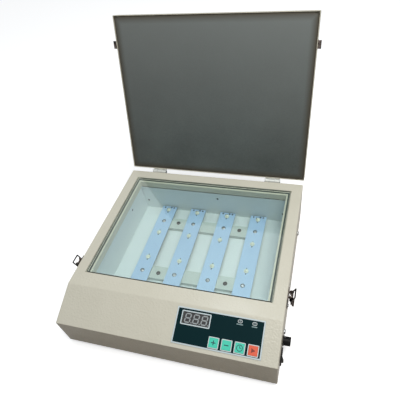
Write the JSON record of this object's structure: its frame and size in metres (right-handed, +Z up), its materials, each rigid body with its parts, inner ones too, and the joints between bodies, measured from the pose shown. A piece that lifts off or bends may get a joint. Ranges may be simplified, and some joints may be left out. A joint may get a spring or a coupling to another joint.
{
  "type": "screen printing exposure unit",
  "caption": "Tabletop exposure unit: glass bed over a light box with strip boards, hinged foam-lined lid held by side latches, and a sloping panel with display and keys.",
  "frame": {"origin": "centre of the bounding box in plan, on the surface that the feet stand on, with the lid open as in the picture", "axes": "+Z up; +Y from the sloping control panel to the lid's hinges; +X to the operator's right when facing the control panel"},
  "size_m": [0.3524, 0.4314, 0.3399],
  "materials": {
    "cream_paint": "fine hammered",
    "plain_steel": "plain",
    "zinc": "plated",
    "dark_zinc": "blackened",
    "foot_rubber": "matte",
    "seal_rubber": "matte",
    "bed_glass": "clear",
    "white_paint": "smooth",
    "rail_steel": "smooth",
    "brass_posts": "plain",
    "board_laminate": "satin",
    "emitter_resin": "clear",
    "overlay_film": "satin",
    "display_plastic": "satin",
    "segment_plastic": "diffusing",
    "green_laminate": "satin",
    "component_plastic": "moulded",
    "turquoise_key": "moulded",
    "orange_key": "moulded",
    "lamp_plastic": "diffusing",
    "black_plastic": "moulded",
    "fuse_metal": "plated",
    "fuse_glass": "clear",
    "driver_case": "plain",
    "wire_cover": "smooth",
    "grey_foam": "open-cell foam",
    "latch_steel": "plated",
    "hinge_steel": "plated"
  },
  "bodies": {
    "cabinet": {"cabinet_shell": "cream_paint", "base_plate": "plain_steel", "base_screws": "zinc", "feet": "foot_rubber", "glass_frame": "cream_paint", "glass_seal": "seal_rubber", "glass_plate": "bed_glass", "reflector_tray": "white_paint", "tray_rivets": "dark_zinc", "rail_front": "rail_steel", "rail_rear": "rail_steel", "rail_standoffs": "brass_posts", "rail_screws": "dark_zinc", "led_board_1": "board_laminate", "led_board_2": "board_laminate", "led_board_3": "board_laminate", "led_board_4": "board_laminate", "led_emitters": "emitter_resin", "board_screws": "zinc", "control_overlay": "overlay_film", "display_module": "display_plastic", "display_segments": "segment_plastic", "control_board": "green_laminate", "board_components": "component_plastic", "board_spacers": "zinc", "panel_screws": "zinc", "key_switches": "component_plastic", "indicator_lamps": "lamp_plastic", "rocker_housing": "black_plastic", "fuse_holder": "black_plastic", "fuse_nut": "black_plastic", "mains_inlet": "black_plastic", "inlet_pins": "brass_posts", "inlet_screws": "zinc", "led_driver": "driver_case", "driver_screws": "zinc", "wiring_loom": "wire_cover", "hinge_leaves_cabinet": "hinge_steel", "hinge_pins": "zinc", "hinge_screws_cabinet": "zinc", "latch_bases": "latch_steel", "latch_screws": "zinc"},
    "lid": {"lid_shell": "cream_paint", "foam_pad": "grey_foam", "lid_strikes": "latch_steel", "hinge_leaves_lid": "hinge_steel", "hinge_screws_lid": "zinc"},
    "rocker": {"rocker": "black_plastic"},
    "fuse_carrier": {"fuse_carrier": "fuse_metal", "fuse_link": "fuse_glass"},
    "fuse_cap": {"fuse_cap": "black_plastic"},
    "latch_lever_left": {"latch_lever_left": "latch_steel"},
    "latch_lever_right": {"latch_lever_right": "latch_steel"},
    "latch_bail_left": {"latch_bail_left": "latch_steel"},
    "latch_bail_right": {"latch_bail_right": "latch_steel"},
    "key_plus": {"key_plus": "turquoise_key"},
    "key_minus": {"key_minus": "turquoise_key"},
    "key_timer": {"key_timer": "turquoise_key"},
    "key_start": {"key_start": "orange_key"}
  },
  "joints": [
    {"name": "lid_hinge", "type": "hinge", "parent": "cabinet", "child": "lid", "pos_m": [0, 0.11014, 0.0833], "axis": [1, 0, 0], "range_deg": [0, 108.1]},
    {"name": "key_plus_press", "type": "slide", "parent": "cabinet", "child": "key_plus", "axis": [0, 0.3703, -0.9289], "range_m": [0, 0.0005], "stiffness_N_per_m": 600},
    {"name": "key_minus_press", "type": "slide", "parent": "cabinet", "child": "key_minus", "axis": [0, 0.3703, -0.9289], "range_m": [0, 0.0005], "stiffness_N_per_m": 600},
    {"name": "key_timer_press", "type": "slide", "parent": "cabinet", "child": "key_timer", "axis": [0, 0.3703, -0.9289], "range_m": [0, 0.0005], "stiffness_N_per_m": 600},
    {"name": "key_start_press", "type": "slide", "parent": "cabinet", "child": "key_start", "axis": [0, 0.3703, -0.9289], "range_m": [0, 0.0005], "stiffness_N_per_m": 600},
    {"name": "rocker_tilt", "type": "hinge", "parent": "cabinet", "child": "rocker", "pos_m": [0.163, -0.18336, 0.0255], "axis": [0, 0, -1], "range_deg": [0, 24]},
    {"name": "fuse_pull", "type": "slide", "parent": "cabinet", "child": "fuse_carrier", "axis": [1, 0, 0], "range_m": [0, 0.032]},
    {"name": "fuse_twist", "type": "hinge", "parent": "fuse_carrier", "child": "fuse_cap", "pos_m": [0.165, -0.15966, 0.0255], "axis": [1, 0, 0], "range_deg": [0, 60]},
    {"name": "latch_lever_left_swing", "type": "hinge", "parent": "cabinet", "child": "latch_lever_left", "pos_m": [-0.1702, -0.11616, 0.081], "axis": [0, 1, 0], "range_deg": [0, 80]},
    {"name": "latch_bail_left_swing", "type": "hinge", "parent": "latch_lever_left", "child": "latch_bail_left", "pos_m": [-0.1696, -0.11616, 0.0752], "axis": [0, -1, 0], "range_deg": [-30.9, 60]},
    {"name": "latch_lever_right_swing", "type": "hinge", "parent": "cabinet", "child": "latch_lever_right", "pos_m": [0.1702, -0.11616, 0.081], "axis": [0, -1, 0], "range_deg": [0, 80]},
    {"name": "latch_bail_right_swing", "type": "hinge", "parent": "latch_lever_right", "child": "latch_bail_right", "pos_m": [0.1696, -0.11616, 0.0752], "axis": [0, 1, 0], "range_deg": [-30.9, 60]}
  ]
}
